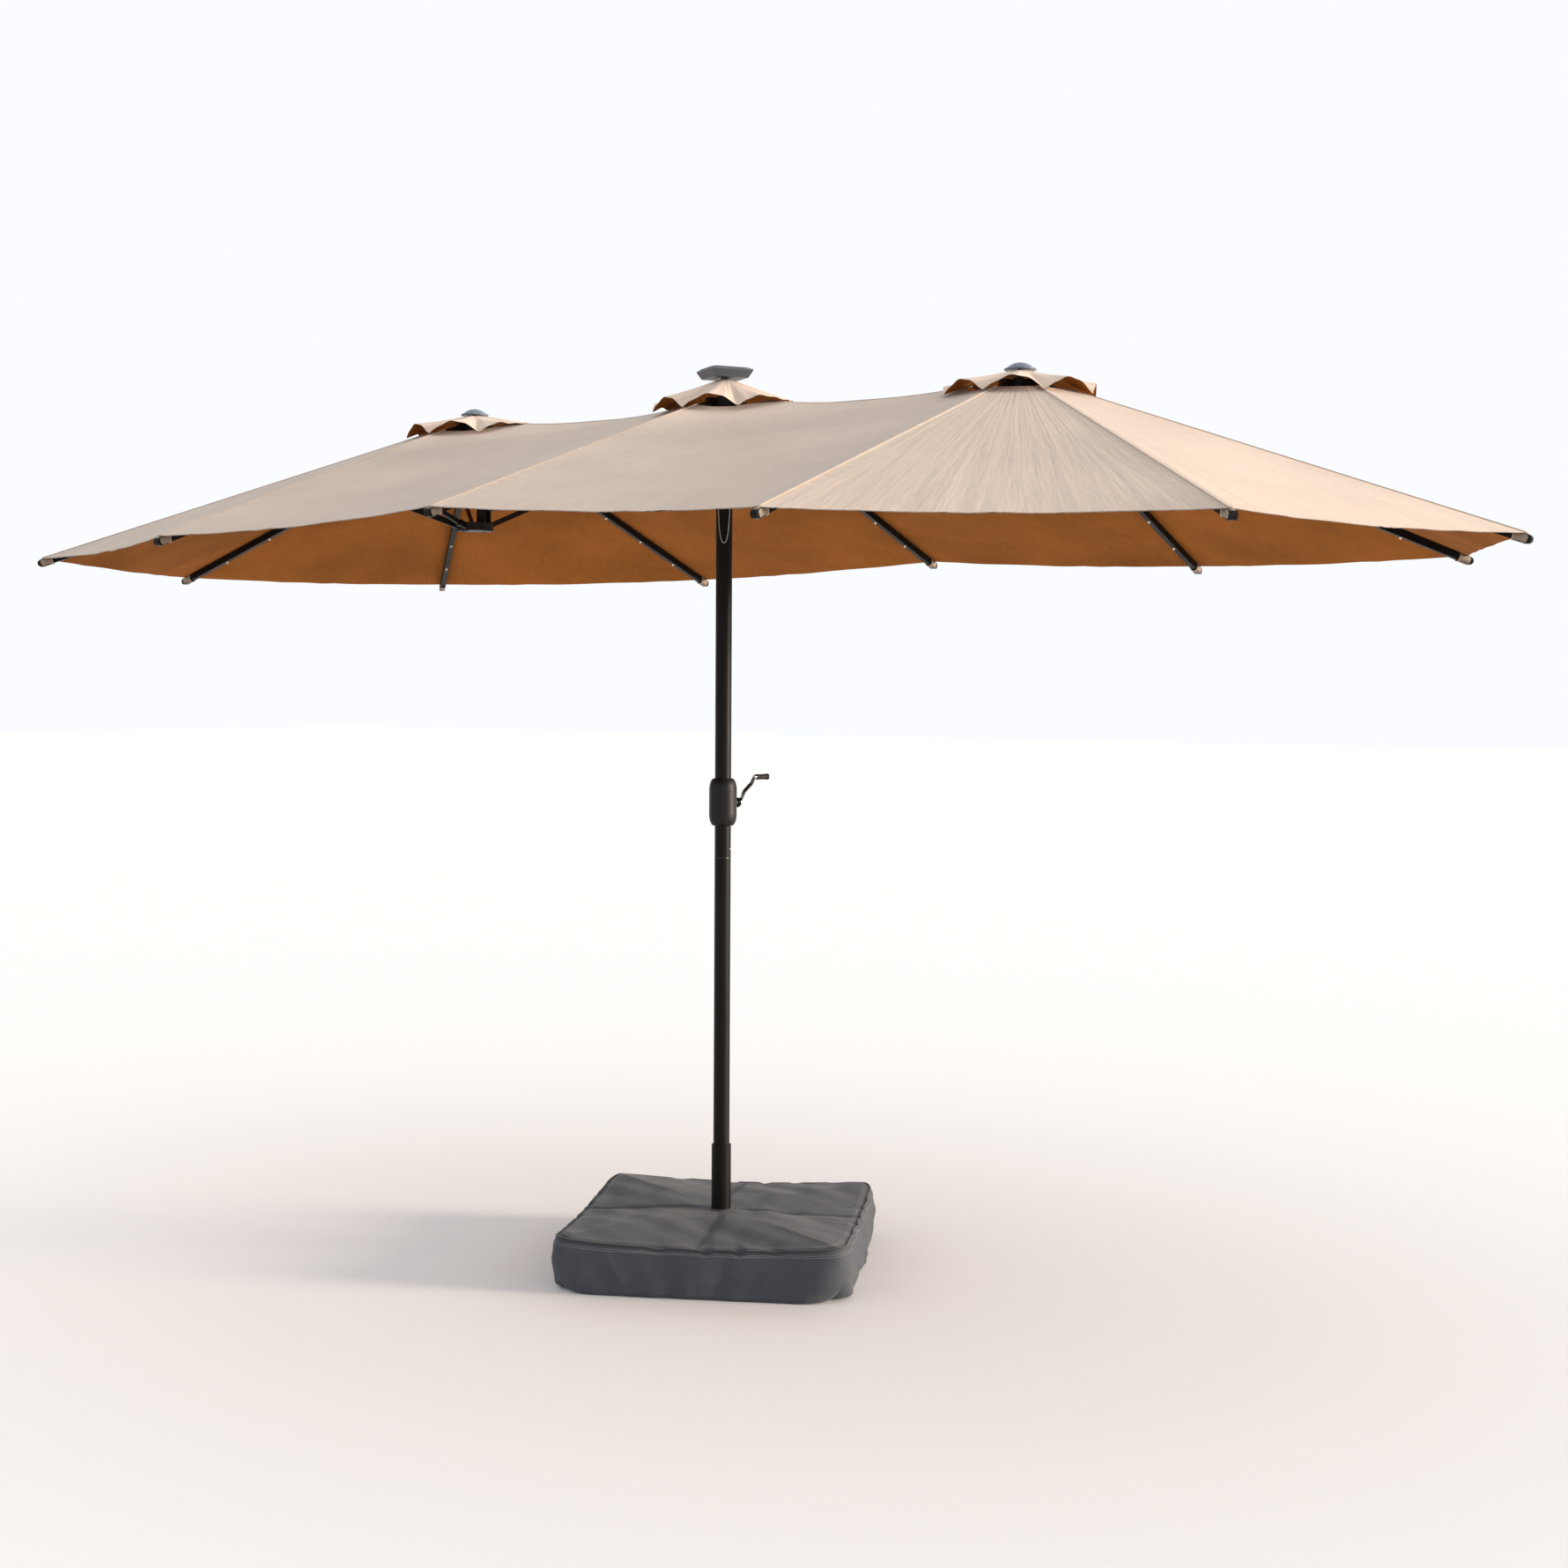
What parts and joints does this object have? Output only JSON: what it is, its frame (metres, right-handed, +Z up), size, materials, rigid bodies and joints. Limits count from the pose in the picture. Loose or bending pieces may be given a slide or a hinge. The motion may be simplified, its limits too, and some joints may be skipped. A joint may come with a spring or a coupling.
{
  "type": "patio umbrella",
  "caption": "Twin-canopy market umbrella with a crank pole, ridge arms to two ribbed side canopies, vented tops, a solar lid and a cross base in a fabric bag.",
  "frame": {"origin": "on the ground, on the axis of the pole", "axes": "+Z up along the pole, +X along the long side of the canopy, -Y to the front"},
  "size_m": [4.622, 2.58, 2.637],
  "materials": {
    "powder_steel": "satin",
    "zinc_steel": "satin",
    "chrome": "polished",
    "chain_steel": "satin",
    "black_plastic": "satin",
    "pale_plastic": "satin",
    "panel_plastic": "gloss",
    "dome_plastic": "gloss",
    "rope": "matte",
    "sand_bag": "matte",
    "cover_fabric": "matte",
    "canopy_fabric": "matte"
  },
  "bodies": {
    "stand": {"cross_base": "powder_steel", "base_bolts": "zinc_steel", "socket_tube": "powder_steel", "sand_bags": "sand_bag", "base_cover": "cover_fabric", "lower_pole": "powder_steel", "pole_coupler": "zinc_steel", "upper_pole": "powder_steel", "crank_housing": "black_plastic", "top_hub": "black_plastic", "crank_rope": "rope", "solar_panel": "panel_plastic", "vent_centre": "canopy_fabric", "canopy_middle": "canopy_fabric"},
    "snap_button": {"snap_button": "zinc_steel"},
    "crank": {"crank_shaft": "chrome"},
    "crank_grip": {"crank_grip": "black_plastic"},
    "pulley": {"pulley": "pale_plastic"},
    "runner": {"runner": "black_plastic", "pin_chain": "chain_steel"},
    "ridge_arm_right": {"ridge_arm_right": "powder_steel"},
    "ridge_brace_right": {"ridge_brace_right": "powder_steel"},
    "lower_arm_right": {"lower_arm_right": "powder_steel"},
    "side_hub_right": {"side_hub_right": "black_plastic", "dome_right": "dome_plastic", "vent_right": "canopy_fabric", "canopy_right": "canopy_fabric"},
    "lower_hub_right": {"lower_hub_right": "black_plastic"},
    "ridge_arm_left": {"ridge_arm_left": "powder_steel"},
    "ridge_brace_left": {"ridge_brace_left": "powder_steel"},
    "lower_arm_left": {"lower_arm_left": "powder_steel"},
    "side_hub_left": {"side_hub_left": "black_plastic", "dome_left": "dome_plastic", "vent_left": "canopy_fabric", "canopy_left": "canopy_fabric"},
    "lower_hub_left": {"lower_hub_left": "black_plastic"},
    "rib_right_front": {"rib_right_front": "powder_steel"},
    "strut_right_front": {"strut_right_front": "powder_steel"},
    "rib_right_front_corner": {"rib_right_front_corner": "powder_steel"},
    "strut_right_front_corner": {"strut_right_front_corner": "powder_steel"},
    "rib_right_end": {"rib_right_end": "powder_steel"},
    "strut_right_end": {"strut_right_end": "powder_steel"},
    "rib_right_back_corner": {"rib_right_back_corner": "powder_steel"},
    "strut_right_back_corner": {"strut_right_back_corner": "powder_steel"},
    "rib_right_back": {"rib_right_back": "powder_steel"},
    "strut_right_back": {"strut_right_back": "powder_steel"},
    "rib_left_front": {"rib_left_front": "powder_steel"},
    "strut_left_front": {"strut_left_front": "powder_steel"},
    "rib_left_front_corner": {"rib_left_front_corner": "powder_steel"},
    "strut_left_front_corner": {"strut_left_front_corner": "powder_steel"},
    "rib_left_end": {"rib_left_end": "powder_steel"},
    "strut_left_end": {"strut_left_end": "powder_steel"},
    "rib_left_back_corner": {"rib_left_back_corner": "powder_steel"},
    "strut_left_back_corner": {"strut_left_back_corner": "powder_steel"},
    "rib_left_back": {"rib_left_back": "powder_steel"},
    "strut_left_back": {"strut_left_back": "powder_steel"},
    "rib_centre_front": {"rib_centre_front": "powder_steel"},
    "strut_centre_front": {"strut_centre_front": "powder_steel"},
    "rib_centre_back": {"rib_centre_back": "powder_steel"},
    "strut_centre_back": {"strut_centre_back": "powder_steel"}
  },
  "joints": [
    {"name": "fold", "type": "hinge", "parent": "stand", "child": "ridge_arm_right", "pos_m": [0.045, 0, 2.5], "axis": [0, 1, 0], "range_deg": [0, 82], "deforming": ["canopy_right", "vent_right", "canopy_middle", "vent_centre", "crank_rope"]},
    {"name": "side_hub_right_level", "type": "hinge", "parent": "ridge_arm_right", "child": "side_hub_right", "pos_m": [0.917, 0, 2.5], "axis": [0, 1, 0], "range_deg": [-82, 0]},
    {"name": "brace_right", "type": "hinge", "parent": "ridge_arm_right", "child": "ridge_brace_right", "pos_m": [0.44282, 0, 2.5], "axis": [0, 1, 0], "range_deg": [-135.55, 0]},
    {"name": "lower_arm_right_fold", "type": "hinge", "parent": "runner", "child": "lower_arm_right", "pos_m": [0.045, 0, 2.275], "axis": [0, 1, 0], "range_deg": [0, 82]},
    {"name": "lower_hub_right_slide", "type": "slide", "parent": "side_hub_right", "child": "lower_hub_right", "axis": [0, 0, -1], "range_m": [0, 0.62262]},
    {"name": "fold_left", "type": "hinge", "parent": "stand", "child": "ridge_arm_left", "pos_m": [-0.045, 0, 2.5], "axis": [0, -1, 0], "range_deg": [0, 82], "deforming": ["canopy_left", "vent_left"]},
    {"name": "side_hub_left_level", "type": "hinge", "parent": "ridge_arm_left", "child": "side_hub_left", "pos_m": [-0.917, 0, 2.5], "axis": [0, -1, 0], "range_deg": [-82, 0]},
    {"name": "brace_left", "type": "hinge", "parent": "ridge_arm_left", "child": "ridge_brace_left", "pos_m": [-0.44282, 0, 2.5], "axis": [0, -1, 0], "range_deg": [-135.55, 0]},
    {"name": "lower_arm_left_fold", "type": "hinge", "parent": "runner", "child": "lower_arm_left", "pos_m": [-0.045, 0, 2.275], "axis": [0, -1, 0], "range_deg": [0, 82]},
    {"name": "lower_hub_left_slide", "type": "slide", "parent": "side_hub_left", "child": "lower_hub_left", "axis": [0, 0, -1], "range_m": [0, 0.62262]},
    {"name": "runner_slide", "type": "slide", "parent": "stand", "child": "runner", "axis": [0, 0, -1], "range_m": [0, 0.62262]},
    {"name": "crank_turn", "type": "hinge", "parent": "stand", "child": "crank", "pos_m": [0, 0, 1.367], "axis": [0.2588, 0.9659, 0], "range_deg": [0, 2880.01]},
    {"name": "grip_spin", "type": "hinge", "parent": "crank", "child": "crank_grip", "pos_m": [0.04723, -0.01265, 1.44375], "axis": [0.2588, 0.9659, 0], "continuous": true},
    {"name": "pulley_spin", "type": "hinge", "parent": "stand", "child": "pulley", "pos_m": [0.01344, 0.01344, 2.468], "axis": [-0.7071, 0.7071, 0], "range_deg": [0, 3243.05]},
    {"name": "snap_press", "type": "slide", "parent": "stand", "child": "snap_button", "axis": [1, 0, 0], "range_m": [-0.004, 0], "stiffness_N_per_m": 800, "springref_m": 0.003},
    {"name": "rib_right_front_fold", "type": "hinge", "parent": "side_hub_right", "child": "rib_right_front", "pos_m": [0.962, -0.045, 2.525], "axis": [1, 0, 0], "range_deg": [0, 64.6]},
    {"name": "strut_right_front_turn", "type": "hinge", "parent": "rib_right_front", "child": "strut_right_front", "pos_m": [0.962, -0.48831, 2.36888], "axis": [1, 0, 0], "range_deg": [-129.2, 0]},
    {"name": "rib_right_front_corner_fold", "type": "hinge", "parent": "side_hub_right", "child": "rib_right_front_corner", "pos_m": [0.99459, -0.03103, 2.525], "axis": [0.6896, 0.7242, 0], "range_deg": [0, 64.6]},
    {"name": "strut_right_front_corner_turn", "type": "hinge", "parent": "rib_right_front_corner", "child": "strut_right_front_corner", "pos_m": [1.31562, -0.33675, 2.36888], "axis": [0.6896, 0.7242, 0], "range_deg": [-129.2, 0]},
    {"name": "rib_right_end_fold", "type": "hinge", "parent": "side_hub_right", "child": "rib_right_end", "pos_m": [1.007, 0, 2.525], "axis": [0, 1, 0], "range_deg": [0, 64.6]},
    {"name": "strut_right_end_turn", "type": "hinge", "parent": "rib_right_end", "child": "strut_right_end", "pos_m": [1.45031, 0, 2.36888], "axis": [0, 1, 0], "range_deg": [-129.2, 0]},
    {"name": "rib_right_back_corner_fold", "type": "hinge", "parent": "side_hub_right", "child": "rib_right_back_corner", "pos_m": [0.99459, 0.03103, 2.525], "axis": [-0.6896, 0.7242, 0], "range_deg": [0, 64.6]},
    {"name": "strut_right_back_corner_turn", "type": "hinge", "parent": "rib_right_back_corner", "child": "strut_right_back_corner", "pos_m": [1.31562, 0.33675, 2.36888], "axis": [-0.6896, 0.7242, 0], "range_deg": [-129.2, 0]},
    {"name": "rib_right_back_fold", "type": "hinge", "parent": "side_hub_right", "child": "rib_right_back", "pos_m": [0.962, 0.045, 2.525], "axis": [-1, 0, 0], "range_deg": [0, 64.6]},
    {"name": "strut_right_back_turn", "type": "hinge", "parent": "rib_right_back", "child": "strut_right_back", "pos_m": [0.962, 0.48831, 2.36888], "axis": [-1, 0, 0], "range_deg": [-129.2, 0]},
    {"name": "rib_left_front_fold", "type": "hinge", "parent": "side_hub_left", "child": "rib_left_front", "pos_m": [-0.962, -0.045, 2.525], "axis": [1, 0, 0], "range_deg": [0, 64.6]},
    {"name": "strut_left_front_turn", "type": "hinge", "parent": "rib_left_front", "child": "strut_left_front", "pos_m": [-0.962, -0.48831, 2.36888], "axis": [1, 0, 0], "range_deg": [-129.2, 0]},
    {"name": "rib_left_front_corner_fold", "type": "hinge", "parent": "side_hub_left", "child": "rib_left_front_corner", "pos_m": [-0.99459, -0.03103, 2.525], "axis": [0.6896, -0.7242, 0], "range_deg": [0, 64.6]},
    {"name": "strut_left_front_corner_turn", "type": "hinge", "parent": "rib_left_front_corner", "child": "strut_left_front_corner", "pos_m": [-1.31562, -0.33675, 2.36888], "axis": [0.6896, -0.7242, 0], "range_deg": [-129.2, 0]},
    {"name": "rib_left_end_fold", "type": "hinge", "parent": "side_hub_left", "child": "rib_left_end", "pos_m": [-1.007, 0, 2.525], "axis": [0, -1, 0], "range_deg": [0, 64.6]},
    {"name": "strut_left_end_turn", "type": "hinge", "parent": "rib_left_end", "child": "strut_left_end", "pos_m": [-1.45031, 0, 2.36888], "axis": [0, -1, 0], "range_deg": [-129.2, 0]},
    {"name": "rib_left_back_corner_fold", "type": "hinge", "parent": "side_hub_left", "child": "rib_left_back_corner", "pos_m": [-0.99459, 0.03103, 2.525], "axis": [-0.6896, -0.7242, 0], "range_deg": [0, 64.6]},
    {"name": "strut_left_back_corner_turn", "type": "hinge", "parent": "rib_left_back_corner", "child": "strut_left_back_corner", "pos_m": [-1.31562, 0.33675, 2.36888], "axis": [-0.6896, -0.7242, 0], "range_deg": [-129.2, 0]},
    {"name": "rib_left_back_fold", "type": "hinge", "parent": "side_hub_left", "child": "rib_left_back", "pos_m": [-0.962, 0.045, 2.525], "axis": [-1, 0, 0], "range_deg": [0, 64.6]},
    {"name": "strut_left_back_turn", "type": "hinge", "parent": "rib_left_back", "child": "strut_left_back", "pos_m": [-0.962, 0.48831, 2.36888], "axis": [-1, 0, 0], "range_deg": [-129.2, 0]},
    {"name": "rib_centre_front_fold", "type": "hinge", "parent": "stand", "child": "rib_centre_front", "pos_m": [0, -0.045, 2.54], "axis": [1, 0, 0], "range_deg": [0, 65.6]},
    {"name": "strut_centre_front_turn", "type": "hinge", "parent": "rib_centre_front", "child": "strut_centre_front", "pos_m": [0, -0.48012, 2.39525], "axis": [1, 0, 0], "range_deg": [-131.2, 0]},
    {"name": "rib_centre_back_fold", "type": "hinge", "parent": "stand", "child": "rib_centre_back", "pos_m": [0, 0.045, 2.54], "axis": [-1, 0, 0], "range_deg": [0, 65.6]},
    {"name": "strut_centre_back_turn", "type": "hinge", "parent": "rib_centre_back", "child": "strut_centre_back", "pos_m": [0, 0.48012, 2.39525], "axis": [-1, 0, 0], "range_deg": [-131.2, 0]}
  ],
  "couplings": [
    {"joint": "side_hub_right_level", "follows": "fold", "ratio": -1},
    {"joint": "brace_right", "follows": "fold", "ratio": -1.6531},
    {"joint": "lower_arm_right_fold", "follows": "fold", "ratio": 1},
    {"joint": "lower_hub_right_slide", "follows": "fold", "m_per_rad": 0.43504},
    {"joint": "fold_left", "follows": "fold", "ratio": 1},
    {"joint": "side_hub_left_level", "follows": "fold", "ratio": -1},
    {"joint": "brace_left", "follows": "fold", "ratio": -1.6531},
    {"joint": "lower_arm_left_fold", "follows": "fold", "ratio": 1},
    {"joint": "lower_hub_left_slide", "follows": "fold", "m_per_rad": 0.43504},
    {"joint": "runner_slide", "follows": "fold", "m_per_rad": 0.43504},
    {"joint": "crank_turn", "follows": "fold", "ratio": 35.122},
    {"joint": "pulley_spin", "follows": "fold", "ratio": 39.549},
    {"joint": "rib_right_front_fold", "follows": "fold", "ratio": 0.7878},
    {"joint": "strut_right_front_turn", "follows": "fold", "ratio": -1.5756},
    {"joint": "rib_right_front_corner_fold", "follows": "fold", "ratio": 0.7878},
    {"joint": "strut_right_front_corner_turn", "follows": "fold", "ratio": -1.5756},
    {"joint": "rib_right_end_fold", "follows": "fold", "ratio": 0.7878},
    {"joint": "strut_right_end_turn", "follows": "fold", "ratio": -1.5756},
    {"joint": "rib_right_back_corner_fold", "follows": "fold", "ratio": 0.7878},
    {"joint": "strut_right_back_corner_turn", "follows": "fold", "ratio": -1.5756},
    {"joint": "rib_right_back_fold", "follows": "fold", "ratio": 0.7878},
    {"joint": "strut_right_back_turn", "follows": "fold", "ratio": -1.5756},
    {"joint": "rib_left_front_fold", "follows": "fold", "ratio": 0.7878},
    {"joint": "strut_left_front_turn", "follows": "fold", "ratio": -1.5756},
    {"joint": "rib_left_front_corner_fold", "follows": "fold", "ratio": 0.7878},
    {"joint": "strut_left_front_corner_turn", "follows": "fold", "ratio": -1.5756},
    {"joint": "rib_left_end_fold", "follows": "fold", "ratio": 0.7878},
    {"joint": "strut_left_end_turn", "follows": "fold", "ratio": -1.5756},
    {"joint": "rib_left_back_corner_fold", "follows": "fold", "ratio": 0.7878},
    {"joint": "strut_left_back_corner_turn", "follows": "fold", "ratio": -1.5756},
    {"joint": "rib_left_back_fold", "follows": "fold", "ratio": 0.7878},
    {"joint": "strut_left_back_turn", "follows": "fold", "ratio": -1.5756},
    {"joint": "rib_centre_front_fold", "follows": "fold", "ratio": 0.8},
    {"joint": "strut_centre_front_turn", "follows": "fold", "ratio": -1.6},
    {"joint": "rib_centre_back_fold", "follows": "fold", "ratio": 0.8},
    {"joint": "strut_centre_back_turn", "follows": "fold", "ratio": -1.6}
  ]
}
